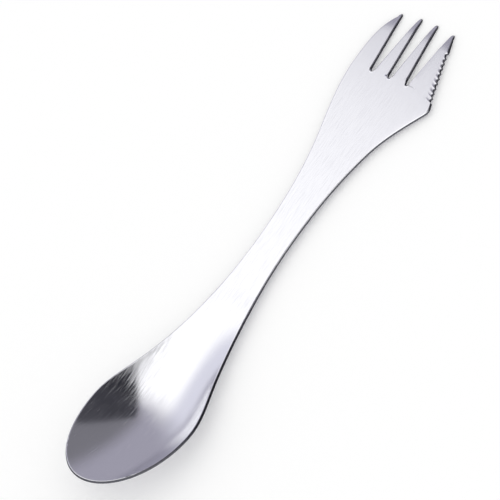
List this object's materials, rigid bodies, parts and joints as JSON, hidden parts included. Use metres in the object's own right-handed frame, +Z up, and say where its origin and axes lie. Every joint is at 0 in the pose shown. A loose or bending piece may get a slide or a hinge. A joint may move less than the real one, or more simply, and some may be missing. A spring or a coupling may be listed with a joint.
{
  "type": "spork",
  "caption": "Flat one-piece steel spork: an oval spoon bowl at one end, a waisted handle and a slotted fork at the other, with a serrated cutting edge along its right side.",
  "frame": {"origin": "centre of the box round the spork, on the table that it lies on", "axes": "+X along the spork towards the fork's tips, +Y to the left of someone holding it by the spoon end, +Z up, the hollow side of the bowl facing up"},
  "size_m": [0.1698, 0.038, 0.0138],
  "materials": {
    "stainless_steel": "satin, brushed along the length, with tumbled edges"
  },
  "bodies": {
    "root": {"spoon_bowl": "stainless_steel", "handle": "stainless_steel", "fork_palm": "stainless_steel", "left_tine": "stainless_steel", "inner_left_tine": "stainless_steel", "inner_right_tine": "stainless_steel", "cutting_tine": "stainless_steel"}
  },
  "joints": []
}
